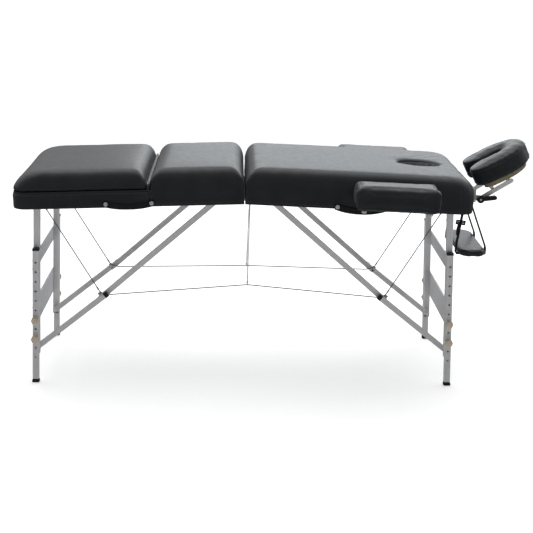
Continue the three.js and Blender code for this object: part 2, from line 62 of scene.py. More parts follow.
FLAP_TOP = 0.096
SEAM_TOP = 0.104
CORNER = 0.064
PAD_LOW = 0.0683
PAD_TOP = 0.142
SKIRT = 0.0042
MIDDLE_END = 0.382
BACKREST_START = 0.388
WRAP_START = 0.3828
FACE_CENTRE = 0.740
FACE_HALF_LENGTH = 0.090
FACE_HALF_WIDTH = 0.065
HEAD_PIVOT = Vector((0.997, 0, 0.760))
HEAD_SLOPE = math.radians(26.5)
LEG_TOP_X = 0.838 * math.cos(TILT) + 0.025 * math.sin(TILT)
LEG_TOP_Z = HINGE_HEIGHT - 0.838 * math.sin(TILT) + 0.025 * math.cos(TILT)
FOOT_X = 0.864
TUBE = 0.025
UPPER_Y = 0.2745
EXTENSION_Y = 0.300
EXTENSION_START = 0.199
UPPER_END = 0.649
ELBOW = Vector((0.594, 0, 0.350))
STRUT_FOOT_DOWN = 0.635
LOWER_STRUT_Y = 0.253
UPPER_STRUT_Y = 0.233
CABLE_Y = 0.216
STRUT_HALF = 0.0075
SIDES = {"left": -1, "right": 1}
ROWS = {"near": -1, "far": 1}
SHELF_LOW, SHELF_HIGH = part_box("arm_shelf")
SHELF_CORNER = 0.058
FOLD_X = (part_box("cushion_middle")[1].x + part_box("cushion_right")[0].x) / 2
FOLD = Matrix.Translation((FOLD_X, 0, 0))

# matrices from the own frame of a half, a leg or the headrest to the table's
SPLAY = math.atan2(FOOT_X - LEG_TOP_X, LEG_TOP_Z)
TURN = {"right": FOLD, "left": FOLD @ Matrix.Rotation(math.pi, 4, "Z")}
HALF = {
    side: turn @ Matrix.Translation((0, 0, HINGE_HEIGHT)) @ Matrix.Rotation(TILT, 4, "Y")
    for side, turn in TURN.items()
}
LEG = {
    side: TURN[side] @ Matrix.Translation((LEG_TOP_X, 0, LEG_TOP_Z)) @ Matrix.Rotation(-SPLAY, 4, "Y")
    for side in SIDES
}
STILL = Matrix.Identity(4)
HEADREST = FOLD @ Matrix.Translation(HEAD_PIVOT) @ Matrix.Rotation(-HEAD_SLOPE, 4, "Y")


# ---------- materials
class Nodes:
    """Short calls for the nodes of one tree."""

    def __init__(self, owner):
        owner.use_nodes = True
        self.tree = owner.node_tree

    def node(self, kind, **settings):
        made = self.tree.nodes.new(kind)
        for key, value in settings.items():
            setattr(made, key, value)
        return made

    def feed(self, socket, value):
        """Gives an input a number, a colour or the output of another node."""
        if isinstance(value, (int, float)):
            socket.default_value = value
        elif isinstance(value, tuple):
            socket.default_value = (*value, 1)
        else:
            self.tree.links.new(value, socket)

    def map_range(self, value, start, end, low, high, **settings):
        ramp = self.node("ShaderNodeMapRange", **settings)
        ramp.inputs["From Min"].default_value = start
        ramp.inputs["From Max"].default_value = end
        ramp.inputs["To Min"].default_value = low
        ramp.inputs["To Max"].default_value = high
        self.feed(ramp.inputs["Value"], value)
        return ramp.outputs["Result"]


class Shader(Nodes):
    """A principled material and the textures that feed it."""

    def __init__(self, name, roughness=0.5, metallic=0.0, specular=0.5):
        self.material = bpy.data.materials.new(name)
        super().__init__(self.material)
        self.shader = self.tree.nodes["Principled BSDF"]
        self.shader.inputs["Roughness"].default_value = roughness
        self.shader.inputs["Metallic"].default_value = metallic
        self.shader.inputs["Specular IOR Level"].default_value = specular
        self.coords = self.node("ShaderNodeTexCoord").outputs["Object"]
        self.height = None

    def stretch(self, scale):
        mapping = self.node("ShaderNodeMapping")
        mapping.inputs["Scale"].default_value = scale
        self.feed(mapping.inputs["Vector"], self.coords)
        return mapping.outputs["Vector"]

    def noise(self, scale, detail=3, stretch=(1, 1, 1)):
        texture = self.node("ShaderNodeTexNoise")
        texture.inputs["Scale"].default_value = scale
        texture.inputs["Detail"].default_value = detail
        self.feed(texture.inputs["Vector"], self.stretch(stretch))
        return texture.outputs["Fac"]

    def cells(self, scale):
        texture = self.node("ShaderNodeTexVoronoi")
        texture.inputs["Scale"].default_value = scale
        self.feed(texture.inputs["Vector"], self.stretch((1, 1, 1)))
        return texture.outputs["Distance"]

    def waves(self, scale, direction, distortion=0.0):
        texture = self.node("ShaderNodeTexWave", bands_direction=direction)
        texture.inputs["Scale"].default_value = scale
        texture.inputs["Distortion"].default_value = distortion
        self.feed(texture.inputs["Vector"], self.coords)
        return texture.outputs["Fac"]

    def remap(self, value, low, high, start=0.3, end=0.7):
        return self.map_range(value, start, end, low, high)

    def maths(self, operation, *values):
        node = self.node("ShaderNodeMath", operation=operation)
        for socket, value in zip(node.inputs, values):
            self.feed(socket, value)
        return node.outputs[0]

    def mix(self, fac, first, second):
        node = self.node("ShaderNodeMix", data_type="RGBA")
        for key, value in (("Factor", fac), ("A", first), ("B", second)):
            self.feed(node.inputs[key], value)
        return node.outputs["Result"]

    def colour(self, value):
        self.feed(self.shader.inputs["Base Color"], value)

    def roughness(self, value):
        self.feed(self.shader.inputs["Roughness"], value)

    def bump(self, height, strength, distance):
        node = self.node("ShaderNodeBump")
        node.inputs["Strength"].default_value = strength
        node.inputs["Distance"].default_value = distance
        self.feed(node.inputs["Height"], height)
        if self.height is not None:
            self.feed(node.inputs["Normal"], self.height)
        self.height = node.outputs["Normal"]
        self.feed(self.shader.inputs["Normal"], self.height)

    def edges(self, low, high):
        """0 on flats and 1 on convex edges, where a surface wears."""
        geometry = self.node("ShaderNodeNewGeometry")
        return self.remap(geometry.outputs["Pointiness"], 0.0, 1.0, low, high)


def leatherette(name, dark, pale, creases=0.0):
    m = Shader(name, specular=0.42)
    tone = m.remap(m.noise(9, 4), 0, 1)
    worn = m.edges(0.51, 0.56)
    m.colour(m.mix(m.maths("MULTIPLY", worn, 0.35), m.mix(tone, dark, pale), (0.035, 0.038, 0.042)))
    m.roughness(m.remap(m.noise(55, 3), 0.38, 0.44))
    m.shader.inputs["Sheen Weight"].default_value = 0.08
    m.shader.inputs["Sheen Roughness"].default_value = 0.35
    if creases:
        m.bump(m.noise(26, 5, (1, 1, 0.5)), creases, 0.004)
    m.bump(m.noise(5, 1), 0.04, 0.004)
    m.bump(m.cells(620), 0.16, 0.0005)
    m.bump(m.noise(1400, 2), 0.05, 0.0003)
    return m.material


def aluminium(name, colour, along="Z", metallic=0.35):
    """Satin extrusion: fine lines along the bar, faint handling marks and darker grime."""
    stretch = {"X": (0.03, 1, 1), "Y": (1, 0.03, 1), "Z": (1, 1, 0.03)}[along]
    m = Shader(name, metallic=metallic, specular=0.5)
    grime = m.remap(m.noise(16, 4), 0, 1, 0.45, 0.75)
    dark = tuple(c * 0.78 for c in colour)
    worn = m.edges(0.505, 0.54)
    body = m.mix(m.maths("MULTIPLY", grime, 0.5), colour, dark)
    m.colour(m.mix(m.maths("MULTIPLY", worn, 0.5), body, tuple(min(1, c * 1.25) for c in colour)))
    m.roughness(m.remap(m.noise(320, 3, stretch), 0.34, 0.52))
    m.bump(m.noise(900, 2, stretch), 0.12, 0.0003)
    m.bump(m.noise(14, 2), 0.04, 0.002)
    return m.material


def moulded(name, dark, pale, rough=(0.35, 0.5), speckle=900):
    m = Shader(name)
    m.colour(m.mix(m.remap(m.noise(60, 4), 0, 1), dark, pale))
    m.roughness(m.remap(m.noise(90, 3), *rough))
    m.bump(m.noise(speckle, 2), 0.12, 0.0003)
    return m.material


def webbing(name, dark, pale, along="X"):
    """Twill ribs across the strap with the weft between them."""
    m = Shader(name, specular=0.3)
    other = "Z" if along != "Z" else "Y"
    weave = m.maths("MULTIPLY", m.waves(170, along), m.waves(110, other))
    m.colour(m.mix(weave, dark, pale))
    m.roughness(m.remap(m.noise(200, 3), 0.62, 0.85))
    m.bump(weave, 0.5, 0.0007)
    m.bump(m.noise(1800, 3), 0.25, 0.0003)
    return m.material


def rope(name, dark, pale, metallic, rough, twist=120):
    m = Shader(name, metallic=metallic)
    strands = m.waves(twist, "DIAGONAL", 0.4)
    m.colour(m.mix(strands, dark, pale))
    m.roughness(m.remap(m.noise(300, 2), rough - 0.08, rough + 0.08))
    m.bump(strands, 0.45, 0.0006)
    return m.material


def timber(name, dark, pale, along=(0.08, 1, 1)):
    m = Shader(name, specular=0.35)
    grain = m.noise(70, 6, along)
    m.colour(m.mix(m.remap(grain, 0, 1), dark, pale))
    m.roughness(m.remap(grain, 0.55, 0.75))
    m.bump(grain, 0.2, 0.0006)
    m.bump(m.noise(600, 3, along), 0.15, 0.0003)
    return m.material


def felt(name, dark, pale):
    m = Shader(name, specular=0.2)
    fibres = m.noise(700, 6)
    m.colour(m.mix(m.remap(fibres, 0, 1), dark, pale))
    m.shader.inputs["Roughness"].default_value = 0.92
    m.bump(fibres, 0.5, 0.0006)
    return m.material


VINYL = leatherette("vinyl", (0.010, 0.013, 0.017), (0.017, 0.020, 0.025))
SOFT_VINYL = leatherette("vinyl_soft", (0.010, 0.013, 0.017), (0.017, 0.020, 0.025), 0.22)
# painted reflection: the liner is the same black vinyl as the pads, coloured pale grey to stand for the sheen
# on its wrinkled wall
LINER_PAINTED_SHEEN = leatherette("vinyl_liner_painted_sheen", (0.12, 0.125, 0.13), (0.24, 0.245, 0.25), 0.45)
ALLOY = aluminium("alloy", (0.64, 0.64, 0.65))
STRUT_ALLOY = aluminium("alloy_strut", (0.65, 0.65, 0.655), "X")
CROSS_ALLOY = aluminium("alloy_cross", (0.60, 0.60, 0.605), "Y")
RUBBER = moulded("rubber", (0.012, 0.012, 0.012), (0.022, 0.022, 0.022), (0.65, 0.85), 500)
CAP = moulded("black_cap", (0.010, 0.010, 0.011), (0.018, 0.018, 0.020), (0.38, 0.55))
LEVER = moulded("lever", (0.008, 0.008, 0.009), (0.015, 0.015, 0.016), (0.25, 0.4))
KNOB = moulded("knob", (0.45, 0.375, 0.29), (0.55, 0.465, 0.37), (0.4, 0.55))
STRAP = webbing("strap", (0.008, 0.008, 0.009), (0.022, 0.022, 0.024))
THREAD = rope("thread", (0.02, 0.02, 0.022), (0.05, 0.05, 0.055), 0.0, 0.6, 900)
STEEL = rope("steel", (0.07, 0.072, 0.072), (0.20, 0.205, 0.205), 0.4, 0.45)
PLATED = aluminium("steel_plate", (0.46, 0.46, 0.47), "Y")
CORD = rope("cord", (0.40, 0.40, 0.43), (0.62, 0.62, 0.66), 0.0, 0.75)
BRASS = aluminium("brass_screw", (0.62, 0.53, 0.36))
CHROME = aluminium("washer", (0.72, 0.72, 0.73))
KHAKI = timber("khaki_board", (0.155, 0.135, 0.075), (0.235, 0.205, 0.125), (1, 0.08, 1))
STAINED = timber("stained_rail", (0.014, 0.012, 0.011), (0.030, 0.026, 0.023))
# painted shade: the deck and back board are coloured near-black so the crease under the pad edges reads dark;
# their dark felt underside is assumed
FELT_PAINTED_SHADE = felt("felt_painted_shade", (0.012, 0.012, 0.013), (0.035, 0.035, 0.037))


# ---------- mesh helpers
def new_object(name, mesh):
    made = bpy.data.objects.new(name, mesh)
    bpy.context.scene.collection.objects.link(made)
    return made


def shade(mesh, smooth):
    for polygon in mesh.polygons:
        polygon.use_smooth = smooth


def mesh_object(name, verts, faces, material):
    """A smooth mesh of one material with its faces turned outwards."""
    mesh = bpy.data.meshes.new(name)
    mesh.from_pydata([tuple(v) for v in verts], [], faces)
    mesh.validate()
    bm = bmesh.new()
    bm.from_mesh(mesh)
    bmesh.ops.recalc_face_normals(bm, faces=bm.faces)
    bm.to_mesh(mesh)
    bm.free()
    mesh.materials.append(material)
    shade(mesh, True)
    return new_object(name, mesh)


def box_object(name, low, high, bevel=0.0):
    """A box between two corners, with rounded edges where a bevel is given."""
    low, high = Vector(low), Vector(high)
    bm = bmesh.new()
    bmesh.ops.create_cube(bm, size=1)
    bm.transform(Matrix.Translation((high + low) / 2) @ Matrix.Diagonal((*(high - low), 1)))
    if bevel:
        bmesh.ops.bevel(bm, geom=bm.edges[:], offset=bevel, segments=2, affect="EDGES", profile=0.5)
    mesh = bpy.data.meshes.new(name)
    bm.to_mesh(mesh)
    bm.free()
    return new_object(name, mesh)


def apply_modifiers(piece):
    deps = bpy.context.evaluated_depsgraph_get()
    fresh = bpy.data.meshes.new_from_object(piece.evaluated_get(deps))
    piece.modifiers.clear()
    piece.data = fresh
    shade(fresh, True)
    return piece


def modifier(piece, kind, **settings):
    made = piece.modifiers.new(kind.lower(), kind)
    for key, value in settings.items():
        setattr(made, key, value)
    return made


def join_pieces(name, pieces):
    """Several meshes as one named object."""
    first = pieces[0]
    bm = bmesh.new()
    slots = []
    for piece in pieces:
        start = len(bm.faces)
        bm.from_mesh(piece.data)
        bm.faces.ensure_lookup_table()
        for face in bm.faces[start:]:
            material = piece.data.materials[face.material_index]
            if material not in slots:
                slots.append(material)
            face.material_index = slots.index(material)
    bm.to_mesh(first.data)
    bm.free()
    first.data.materials.clear()
    for material in slots:
        first.data.materials.append(material)
    for piece in pieces[1:]:
        bpy.data.objects.remove(piece)
    first.name = name
    return first


def place(piece, matrix, body, replaces=()):
    """Moves a finished piece to its body and hides the CAD nodes it stands for."""
    piece.data.transform(matrix)
    if replaces:
        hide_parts(*replaces)
    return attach(piece, body)


def loft(name, rings, material, closed_ends=True):
    """Quads between rings of equal point count; the first and last rings are capped."""
    count = len(rings[0])
    verts = [point for ring in rings for point in ring]
    faces = []
    for level in range(len(rings) - 1):
        near, far = level * count, (level + 1) * count
        for i in range(count):
            j = (i + 1) % count
            faces.append((near + i, near + j, far + j, far + i))
    if closed_ends:
        faces.append(tuple(range(count)))
        faces.append(tuple(range((len(rings) - 1) * count, len(rings) * count)))
    return mesh_object(name, verts, faces, material)


def direction_at(path, i, closed=False):
    """The way a path runs at its point i."""
    if closed:
        return (path[(i + 1) % len(path)] - path[i - 1]).normalized()
    return (path[min(i + 1, len(path) - 1)] - path[max(i - 1, 0)]).normalized()


def sweep(name, path, section, material):
    """A section of (across, out) offsets carried along a path; across stays along the table's Y."""
    rings = []
    for i, point in enumerate(path):
        along = direction_at(path, i)
        out = along.cross(Vector((0, 1, 0))).normalized()
        across = out.cross(along).normalized()
        rings.append([point + across * a + out * o for a, o in section])
    return loft(name, rings, material)


def full_turn(count):
    return [2 * math.pi * k / count for k in range(count)]


def circle_section(radius, count=8):
    return [(radius * math.cos(angle), radius * math.sin(angle)) for angle in full_turn(count)]


def tube(name, path, radius, material, count=8, closed=False):
    """A round line along a path that may turn any way."""
    rings = []
    normal = None
    for i, point in enumerate(path):
        along = direction_at(path, i, closed)
        if normal is None:
            normal = along.orthogonal().normalized()
        normal = (normal - along * normal.dot(along)).normalized()
        other = along.cross(normal)
        rings.append([point + normal * a + other * b for a, b in circle_section(radius, count)])
    if closed:
        rings.append(rings[0])
    return loft(name, rings, material, closed_ends=not closed)


def turned(name, profile, material, lobes=0, depth=0.0, count=48):
    """A body turned about Z from (radius, height) points; lobes scallop the wide part."""
    widest = max(radius for radius, _ in profile)
    rings = []
    for radius, height in profile:
        share = (radius / widest) ** 4
        ring = []
        for angle in full_turn(count):
            scallop = 1 - depth * share * (0.5 - 0.5 * math.cos(lobes * angle)) if lobes else 1
            reach = radius * scallop
            ring.append(Vector((reach * math.cos(angle), reach * math.sin(angle), height)))
        rings.append(ring)
    return loft(name, rings, material)


def face_along(direction, at):
    """Puts a body made about Z at a point, with its Z along a direction."""
    return Matrix.Translation(at) @ Vector(direction).to_track_quat("Z", "Y").to_matrix().to_4x4()


def dense(path, step):
    """The same path with points at most step apart."""
    points = [path[0]]
    for start, end in zip(path, path[1:]):
        count = max(1, math.ceil((end - start).length / step))
        points += [start.lerp(end, k / count) for k in range(1, count + 1)]
    return points


def rounded_path(path, radius, steps=5):
    """A path whose inner corners turn through short curves."""
    points = [path[0]]
    for before, corner, after in zip(path, path[1:], path[2:]):
        reach = min(radius, (corner - before).length * 0.45, (after - corner).length * 0.45)
        start = corner + (before - corner).normalized() * reach
        end = corner + (after - corner).normalized() * reach
        for k in range(steps + 1):
            t = k / steps
            points.append(start.lerp(corner, t).lerp(corner.lerp(end, t), t))
    return points + [path[-1]]


def arc(cx, cy, radius, first, last, steps):
    """Plan points round a centre between two angles in degrees."""
    angles = [math.radians(first + (last - first) * k / steps) for k in range(steps + 1)]
    return [(cx + radius * math.cos(angle), cy + radius * math.sin(angle)) for angle in angles]


def tongue(x0, x1, half_width, corner, start_corner=0.006, steps=8):
    """Plan outline with large corners at the outer end and small ones at the inner end."""
    start_x, start_y = x0 + start_corner, half_width - start_corner
    end_x, end_y = x1 - corner, half_width - corner
    return (arc(end_x, -end_y, corner, -90, 0, steps) + arc(end_x, end_y, corner, 0, 90, steps)
            + arc(start_x, start_y, start_corner, 90, 180, steps)
            + arc(start_x, -start_y, start_corner, 180, 270, steps))


# ---------- padded pieces
CLOTH_FRAMES = 20
CLOTH_PRESSURE = 4.0
CLOTH_SETTINGS = {
    "quality": 4, "use_pressure": True, "tension_stiffness": 15, "compression_stiffness": 12,
    "shear_stiffness": 5, "bending_stiffness": 0.8,
}
COVER = 0.001                        # the cushions start this far inside their CAD solids
SWELL = 0.004                        # the furthest that a cushion's cover moves under pressure
FIRM = (0.060, 0.100)                # the cover is still below the first height, free above the second
CROWN_FROM = 0.1
PAD_UNEVEN = (0.0006, 6, 0.0001, 34)
waiting_for_cloth = []


def crowned_block(name, bounds, shoulder, low, top, drop, under=0.006):
    """A pad block: bounds (x0, x1, half width, corner); shoulder is how far the top edge rounds
    in at the start, the end and the sides, over the height drop."""
    x0, x1, half_width, corner = bounds
    start, end, sides = shoulder
    widest = max(shoulder)
    quarter = math.pi / 2
    rings = []

    def ring(share, height):
        plan = tongue(x0 + start * share, x1 - end * share, half_width - sides * share,
                      max(0.004, corner - min(end, sides) * share * 0.3))
        rings.append([Vector((x, y, height)) for x, y in plan])

    for k in range(3):
        angle = quarter * k / 3
        ring(under / widest * (1 - math.sin(angle)), low + under * (1 - math.cos(angle)))
    steps = 8
    for k in range(steps + 1):
        angle = quarter * k / steps
        ring(1 - math.cos(angle), top - drop * (1 - math.sin(angle)))
    return loft(name, rings, VINYL)


def voxels(piece, size, smooth):
    """The piece as even quads, after a number of smoothing passes."""
    modifier(piece, "REMESH", mode="VOXEL", voxel_size=size, use_smooth_shade=True)
    modifier(piece, "SMOOTH", iterations=smooth, factor=0.5)
    return apply_modifiers(piece)


def pad_of_air(piece, cap, pressure=CLOTH_PRESSURE, firm=None):
    """Queues the piece for the pressure simulation; no point moves further than cap, and nothing
    moves below firm, a (still, free) pair of heights where the cover is stapled to its board."""
    waiting_for_cloth.append((piece, cap, firm))
    cloth = piece.modifiers.new("cloth", "CLOTH")
    settings = cloth.settings
    for key, value in CLOTH_SETTINGS.items():
        setattr(settings, key, value)
    settings.uniform_pressure_force = pressure
    settings.effector_weights.gravity = 0
    cloth.collision_settings.use_collision = False


def positions(mesh):
    flat = np.empty(len(mesh.vertices) * 3, float)
    mesh.vertices.foreach_get("co", flat)
    return flat.reshape(-1, 3)


def directions(mesh):
    return np.array([v.normal for v in mesh.vertices], float)


def set_positions(mesh, points):
    mesh.vertices.foreach_set("co", np.asarray(points, np.float32).ravel())
    mesh.update()


def run_cloth():
    scene = bpy.context.scene
    for step in range(1, CLOTH_FRAMES + 1):
        scene.frame_set(step)
    deps = bpy.context.evaluated_depsgraph_get()
    moved = {}
    for piece, cap, firm in waiting_for_cloth:
        rest = positions(piece.data)
        move = positions(piece.evaluated_get(deps).data) - rest
        move -= move.mean(axis=0)
        length = np.linalg.norm(move, axis=1, keepdims=True)
        limit = cap * np.tanh(length / cap) / np.maximum(length, 1e-9)
        if firm:
            limit = limit * smoothstep(rest[:, 2:3], *firm)
        moved[piece.name] = rest + move * limit
    for piece, _, _ in waiting_for_cloth:
        piece.modifiers.clear()
        set_positions(piece.data, moved[piece.name])
    scene.frame_set(1)


def displace(piece, offset):
    """Moves every vertex by offset(points, normals), an array of vectors."""
    points = positions(piece.data)
    set_positions(piece.data, points + offset(points, directions(piece.data)))


def smoothstep(value, low, high):
    t = np.clip((value - low) / (high - low), 0, 1)
    return t * t * (3 - 2 * t)


def ripple(points, scale, seed):
    """Smooth values in -1..1 for an array of points."""
    shift = Vector((seed * 7.3, seed * 3.1, seed * 5.7))
    return np.array([noise.noise(Vector(p) * scale + shift) for p in points])


def uneven(points, swell, swell_scale, crease, crease_scale, seed):
    """Broad swells and small creases of a stuffed cover."""
    return swell * ripple(points, swell_scale, seed) + crease * ripple(points, crease_scale, seed + 1)


def subtract(piece, cutter):
    modifier(piece, "BOOLEAN", operation="DIFFERENCE", object=cutter, solver="EXACT")
    apply_modifiers(piece)
    bpy.data.objects.remove(cutter)


def subdivide(piece, levels=1):
    modifier(piece, "SUBSURF", levels=levels, render_levels=levels)
    apply_modifiers(piece)


def on_surface(piece, points, lift=0.0):
    """The nearest points on a finished piece, lifted along its surface."""
    bm = bmesh.new()
    bm.from_mesh(piece.data)
    tree = BVHTree.FromBMesh(bm)
    found = [tree.find_nearest(point) for point in points]
    bm.free()
    return [hit[0] + hit[1] * lift for hit in found], [hit[1] for hit in found]


def piping(name, piece, points, radius, closed=True):
    line, _ = on_surface(piece, points, radius * 0.35)
    return tube(name, line, radius, VINYL, 8, closed)


STITCH = 0.0045
STITCH_GAP = 0.0025
THREAD_RADIUS = 0.00045
THREAD_LIFT = 0.0003


def stitches(name, piece, points):
    """A row of short raised threads along points laid on the piece."""
    line, normals = on_surface(piece, dense(points, 0.002), THREAD_LIFT)
    pieces = []
    travelled = 0.0
    start = 0
    for i in range(1, len(line)):
        travelled += (line[i] - line[i - 1]).length
        if travelled >= STITCH:
            first = line[start] - normals[start] * THREAD_RADIUS * 2
            last = line[i] - normals[i] * THREAD_RADIUS * 2
            middle = (line[start] + line[i]) / 2 + normals[i] * THREAD_RADIUS
            pieces.append(tube("thread", [first, middle, last], THREAD_RADIUS, THREAD, 5))
            travelled = -STITCH_GAP
            start = i
        elif travelled <= 0:
            start = i
    return join_pieces(name, pieces)


def end_pleats(points, normals, low, seed):
    """Small gathers where the cover turns round the two outer corners, and a faint overall ripple."""
    offset = np.zeros(len(points))
    for sign in (-1, 1):
        dx = points[:, 0] - (HALF_LENGTH - CORNER)
        dy = points[:, 1] - sign * (HALF_WIDTH - CORNER)
        angle = np.arctan2(dy * sign, dx)
        inside = smoothstep(angle, -0.25, 0.15) * (1 - smoothstep(angle, 1.4, 1.8))
        reach = smoothstep(np.hypot(dx, dy), 0.02, CORNER * 0.9)
        offset += 0.0011 * inside * reach * np.sin(angle * 15 + 0.8 * np.sin(points[:, 2] * 60))
    offset += uneven(points, *PAD_UNEVEN, seed)
    return normals * (offset * smoothstep(points[:, 2], low, low + 0.02))[:, None]


def crown(points, x0, x1, rise):
    """Extra height in the middle of a pad's top."""
    u = np.clip((points[:, 0] - (x0 + x1) / 2) / ((x1 - x0) / 2), -1, 1)
    v = np.clip(points[:, 1] / HALF_WIDTH, -1, 1)
    above = smoothstep(points[:, 2], CROWN_FROM, PAD_TOP)
    lift = rise * (1 - u ** 4) * (1 - v ** 4) * above
    return np.stack([np.zeros_like(lift), np.zeros_like(lift), lift], axis=1)


def face_oval_point(angle, grow, height):
    return Vector((FACE_CENTRE + (FACE_HALF_LENGTH + grow) * math.cos(angle),
                   (FACE_HALF_WIDTH + grow) * math.sin(angle), height))


def cut_face_opening(piece):
    """The oval opening with a rolled lip."""
    lip = ((0, -0.02), (0, PAD_TOP - 0.014), (0.002, PAD_TOP - 0.007),
           (0.007, PAD_TOP - 0.001), (0.013, PAD_TOP + 0.002), (0.013, PAD_TOP + 0.03))
    rings = [[face_oval_point(angle, grow, height) for angle in full_turn(48)] for grow, height in lip]
    subtract(piece, loft("cutter", rings, VINYL))


BIG_VOXEL = 0.0085
SMALL_VOXEL = 0.005
SHELF_VOXEL = 0.004
PAD_END = HALF_LENGTH - COVER
PAD_SIDE = HALF_WIDTH - COVER
PAD_CROWN = PAD_TOP - COVER

right_pad = crowned_block("pad_right", (FOLD_FACE, PAD_END, PAD_SIDE, CORNER),
                          (0.050, 0.078, 0.048), 0.0, PAD_CROWN, 0.066)
cut_face_opening(right_pad)
voxels(right_pad, BIG_VOXEL, 2)
pad_of_air(right_pad, SWELL, firm=FIRM)

middle_pad = crowned_block("pad_middle", (FOLD_FACE, MIDDLE_END - COVER / 2, PAD_SIDE, 0.008),
                           (0.050, 0.062, 0.048), 0.0, PAD_CROWN, 0.062)
voxels(middle_pad, BIG_VOXEL, 2)
pad_of_air(middle_pad, SWELL, firm=FIRM)

back_pad = crowned_block("pad_backrest", (BACKREST_START + COVER, PAD_END, PAD_SIDE, CORNER),
                         (0.044, 0.112, 0.046), PAD_LOW + 0.0008, PAD_CROWN, 0.070, under=0.0015)
voxels(back_pad, BIG_VOXEL, 2)
pad_of_air(back_pad, SWELL, firm=(PAD_LOW + 0.003, FIRM[1]))


def block_from_node(node, name, matrix, shrink, size, smooth):
    """A CAD soft solid in its own frame, drawn in a little, as even quads ready to inflate."""
    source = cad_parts[node]
    piece = new_object(name, source.data.copy())
    piece.data.transform(source.matrix_world)
    piece.data.transform(matrix.inverted())
    piece.data.materials.clear()
    piece.data.materials.append(SOFT_VINYL)
    bm = bmesh.new()
    bm.from_mesh(piece.data)
    bmesh.ops.remove_doubles(bm, verts=bm.verts, dist=1e-5)
    bm.to_mesh(piece.data)
    bm.free()
    voxels(piece, size, smooth)
    displace(piece, lambda points, normals: -normals * shrink)
    return piece


ARM_START, ARM_END = 0.431, 0.763
ARM_LOW, ARM_HIGH = 0.031, 0.123
ARM_HALF = 0.072
ARM_MIDDLE_Y = 0.425
arm_pads = {}
for row, sign in ROWS.items():
    block = crowned_block(f"armrest_pad_{row}", (ARM_START, ARM_END, ARM_HALF, 0.018),
                          (0.020, 0.020, 0.018), ARM_LOW, ARM_HIGH, 0.020, under=0.010)
    block.data.transform(Matrix.Translation((0, sign * ARM_MIDDLE_Y, 0)))
    block.data.materials[0] = SOFT_VINYL
    voxels(block, SMALL_VOXEL, 2)
    pad_of_air(block, 0.005)
    arm_pads[row] = block

head_pad = block_from_node("headrest_cushion", "headrest_pad", HEADREST, 0.0005, SMALL_VOXEL, 40)
pad_of_air(head_pad, 0.010, 6.0)
shelf_pad = block_from_node("arm_shelf", "arm_shelf_pad", STILL, 0.0015, SHELF_VOXEL, 4)
pad_of_air(shelf_pad, 0.004, 5.0)
run_cloth()


# ---------- finishing the pads
def finish_table_pads():
    displace(right_pad, lambda p, n: crown(p, 0, HALF_LENGTH, 0.005) + end_pleats(p, n, 0.01, 1))
    displace(back_pad, lambda p, n: crown(p, BACKREST_START, HALF_LENGTH, 0.008)
             + end_pleats(p, n, 0.072, 5))
    displace(middle_pad, lambda p, n: crown(p, 0, MIDDLE_END, 0.006)
             + n * uneven(p, *PAD_UNEVEN, 8)[:, None])
    for piece in (right_pad, middle_pad, back_pad):
        modifier(piece, "SMOOTH", iterations=3, factor=0.5)
        subdivide(piece)
    inner = HALF_WIDTH - SKIRT
    narrow = inner - CORNER * 0.9
    for piece, end, side in ((right_pad, HALF_LENGTH - CORNER, inner),
                             (right_pad, HALF_LENGTH - SKIRT, narrow),
                             (middle_pad, MIDDLE_END + 0.05, inner)):
        subtract(piece, box_object("cutter", (-0.05, -side, -0.05), (end, side, PAD_LOW)))
    place(right_pad, HALF["right"], "right_half", ["cushion_right"])
    place(middle_pad, HALF["left"], "left_half", ["cushion_middle"])
    place(back_pad, HALF["left"], "backrest", ["cushion_backrest"])


def corner_seams(name, piece, side, body, low):
    """Stitched upright seams where the side panels meet the end panel."""
    matrix = HALF[side]
    beside = matrix.to_3x3() @ Vector((0.003, 0, 0))
    rows = []
    for sign in (-1, 1):
        x, y = HALF_LENGTH - CORNER - 0.004, sign * (HALF_WIDTH + 0.01)
        start, end = (matrix @ Vector((x, y, height)) for height in (low, SEAM_TOP))
        rows.append(stitches("row", piece, [start, end]))
        line, _ = on_surface(piece, dense([start + beside, end + beside], 0.006))
        rows.append(tube("groove", line, 0.0007, VINYL, 6))
    place(join_pieces(name, rows), STILL, body)


def face_liner():
    """Loose gathered vinyl inside the face opening, coloured pale grey as a painted sheen on what is black
    vinyl.
    """
    rings = []
    levels = ((0, 0.062), (0, 0.075), (0, 0.088), (0, 0.1), (0, 0.112), (0, 0.124), (0.001, 0.134))
    for flare, height in levels:
        fade = 1 - smoothstep(height, 0.118, 0.138)
        ring = []
        for angle in full_turn(120):
            fold = 0.0034 * math.sin(19 * angle + 40 * height) + 0.0018 * math.sin(37 * angle + 1.3)
            ring.append(face_oval_point(angle, -0.0052 + flare + fold * fade, height))
        rings.append(ring)
    outer = [[Vector((FACE_CENTRE + (p.x - FACE_CENTRE) * 1.022, p.y * 1.03, p.z)) for p in ring]
             for ring in rings]
    liner = loft("face_liner", rings + outer[::-1] + [rings[0]], LINER_PAINTED_SHEEN, closed_ends=False)
    subdivide(liner)
    place(liner, HALF["right"], "right_half")


